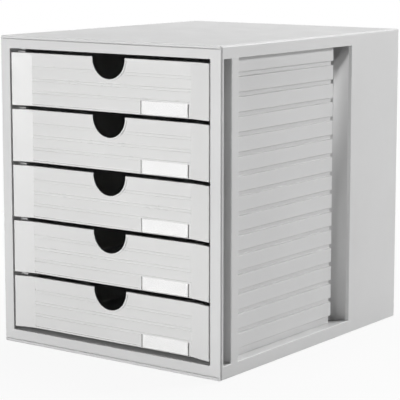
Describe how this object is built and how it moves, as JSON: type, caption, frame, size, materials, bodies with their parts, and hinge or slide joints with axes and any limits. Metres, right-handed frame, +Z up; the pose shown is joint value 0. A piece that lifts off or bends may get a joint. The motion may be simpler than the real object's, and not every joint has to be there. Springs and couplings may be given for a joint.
{
  "type": "desktop file drawer",
  "caption": "Desktop box with a stack of shallow sliding drawers, half-round finger cut-outs, label pockets and ribbed side windows.",
  "frame": {"origin": "centre of the footprint on the surface that the feet stand on", "axes": "+Z up, -Y out of the front where the drawers open, +X to the right seen from the front"},
  "size_m": [0.276, 0.336, 0.321],
  "materials": {
    "housing_plastic": "light grey moulded polystyrene, fine satin",
    "drawer_plastic": "pale grey moulded polystyrene, satin",
    "label_card": "plain uncoated card",
    "label_window": "clear film",
    "foot_rubber": "matt"
  },
  "bodies": {
    "housing": {"front_frame": "housing_plastic", "top_panel": "housing_plastic", "bottom_panel": "housing_plastic", "back_panel": "housing_plastic", "left_side_panel": "housing_plastic", "right_side_panel": "housing_plastic", "left_rail_panel": "housing_plastic", "right_rail_panel": "housing_plastic", "rubber_feet": "foot_rubber"},
    "drawer_1_slider": {"drawer_1": "drawer_plastic", "label_card_1": "label_card", "label_window_1": "label_window"},
    "drawer_2_slider": {"drawer_2": "drawer_plastic", "label_card_2": "label_card", "label_window_2": "label_window"},
    "drawer_3_slider": {"drawer_3": "drawer_plastic", "label_card_3": "label_card", "label_window_3": "label_window"},
    "drawer_4_slider": {"drawer_4": "drawer_plastic", "label_card_4": "label_card", "label_window_4": "label_window"},
    "drawer_5_slider": {"drawer_5": "drawer_plastic", "label_card_5": "label_card", "label_window_5": "label_window"}
  },
  "joints": [
    {"name": "drawer_1_slide", "type": "slide", "parent": "housing", "child": "drawer_1_slider", "axis": [0, -1, 0], "range_m": [0, 0.24]},
    {"name": "drawer_2_slide", "type": "slide", "parent": "housing", "child": "drawer_2_slider", "axis": [0, -1, 0], "range_m": [0, 0.24]},
    {"name": "drawer_3_slide", "type": "slide", "parent": "housing", "child": "drawer_3_slider", "axis": [0, -1, 0], "range_m": [0, 0.24]},
    {"name": "drawer_4_slide", "type": "slide", "parent": "housing", "child": "drawer_4_slider", "axis": [0, -1, 0], "range_m": [0, 0.24]},
    {"name": "drawer_5_slide", "type": "slide", "parent": "housing", "child": "drawer_5_slider", "axis": [0, -1, 0], "range_m": [0, 0.24]}
  ]
}
